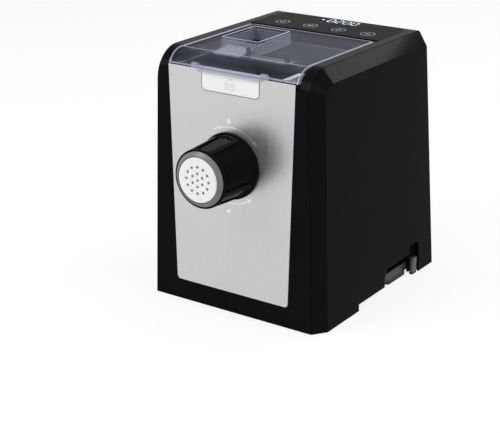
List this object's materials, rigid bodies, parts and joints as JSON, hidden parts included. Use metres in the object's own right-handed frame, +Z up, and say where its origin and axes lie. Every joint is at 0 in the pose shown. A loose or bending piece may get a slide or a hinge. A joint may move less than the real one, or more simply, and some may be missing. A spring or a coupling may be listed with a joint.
{
  "type": "electric_pasta_maker",
  "caption": "Countertop electric pasta maker with a clear hinged lid, touch panel, mixing bowl and screw extruder",
  "frame": {"origin": "On the surface that the machine stands on, midway along the overall length and width", "axes": "+Z up; -Y is the way out of the extruder, out of the front; +X is the machine's left side as seen from behind it, the right side as seen from the front"},
  "size_m": [0.2416, 0.3362, 0.3],
  "materials": {
    "white_plastic": "satin white moulding",
    "black_gloss": "polished black moulding",
    "black_satin": "satin black moulding",
    "side_grey": "satin dark grey moulding",
    "steel_brushed": "vertical brushed grain",
    "steel_plain": "turned steel",
    "ring_satin": "satin grey cone",
    "disc_white": "satin white moulding",
    "bowl_smoke": "dark smoky moulding",
    "lid_clear": "clear moulding with a smoky tint",
    "inlet_frosted": "frosted moulding",
    "rubber_black": "moulded rubber",
    "gear_white": "moulded gear plastic",
    "bronze": "sintered bush",
    "aluminium": "die cast",
    "board_green": "circuit board",
    "display_dark": "display module"
  },
  "bodies": {
    "housing": {"front_fascia": "black_gloss", "front_plate": "steel_brushed", "left_side_panel": "black_gloss", "right_side_panel": "black_gloss", "rear_cover": "black_satin", "floor_plate": "black_satin", "front_foot_left": "rubber_black", "front_foot_right": "rubber_black", "rear_foot_left": "rubber_black", "rear_foot_right": "rubber_black", "side_leg_left": "side_grey", "side_leg_right": "side_grey", "leg_pad_left": "rubber_black", "leg_pad_right": "rubber_black", "bulkhead": "black_satin", "bowl_saddle": "black_satin", "mixing_bowl": "bowl_smoke", "extruder_barrel": "white_plastic", "shaft_seal": "rubber_black", "idler_axle": "steel_plain", "gear_case": "black_satin", "shaft_bush": "bronze", "motor": "aluminium", "hinge_bracket_left": "black_satin", "hinge_bracket_right": "black_satin", "control_panel": "black_gloss", "panel_tray": "black_satin", "control_board": "board_green", "display_module": "display_dark", "touch_springs": "steel_plain", "power_board": "board_green", "lid_switch": "black_satin", "ring_switch": "black_satin", "cord_bush": "rubber_black", "latch_bracket": "black_satin", "floor_screws": "steel_plain"},
    "lid": {"lid_shell": "lid_clear", "lid_lift_tab": "lid_clear", "liquid_inlet": "inlet_frosted", "drip_rail": "bowl_smoke", "hinge_pin_left": "steel_plain", "hinge_pin_right": "steel_plain"},
    "button": {"release_button": "white_plastic"},
    "ring": {"locking_ring": "black_gloss", "ring_insert": "ring_satin"},
    "disc": {"shaping_disc": "disc_white"},
    "mixer": {"extruder_screw": "white_plastic", "mixing_paddle": "white_plastic", "output_wheel": "gear_white"},
    "idler": {"idler_gear": "gear_white"},
    "motor_rotor": {"motor_shaft": "steel_plain", "motor_fan": "black_satin"}
  },
  "joints": [
    {"name": "lid_hinge", "type": "hinge", "parent": "housing", "child": "lid", "pos_m": [0, 0.05845, 0.2925], "axis": [-1, 0, 0], "range_deg": [0, 90]},
    {"name": "button_press", "type": "slide", "parent": "housing", "child": "button", "axis": [0, 1, 0], "range_m": [0, 0.0025], "stiffness_N_per_m": 400},
    {"name": "disc_slide", "type": "slide", "parent": "housing", "child": "disc", "axis": [0, -1, 0], "range_m": [0, 0.09]},
    {"name": "ring_turn", "type": "hinge", "parent": "disc", "child": "ring", "pos_m": [0, -0.13585, 0.18], "axis": [0, -1, 0], "range_deg": [0, 45]},
    {"name": "screw_turn", "type": "hinge", "parent": "housing", "child": "mixer", "pos_m": [0, -0.00585, 0.18], "axis": [0, 1, 0], "continuous": true},
    {"name": "idler_turn", "type": "hinge", "parent": "housing", "child": "idler", "pos_m": [0, 0.08415, 0.113], "axis": [0, 1, 0], "continuous": true},
    {"name": "motor_turn", "type": "hinge", "parent": "housing", "child": "motor_rotor", "pos_m": [0, 0.02415, 0.057], "axis": [0, 1, 0], "continuous": true}
  ],
  "couplings": [
    {"joint": "idler_turn", "follows": "screw_turn", "ratio": -4.1538},
    {"joint": "motor_turn", "follows": "screw_turn", "ratio": 15.231}
  ]
}
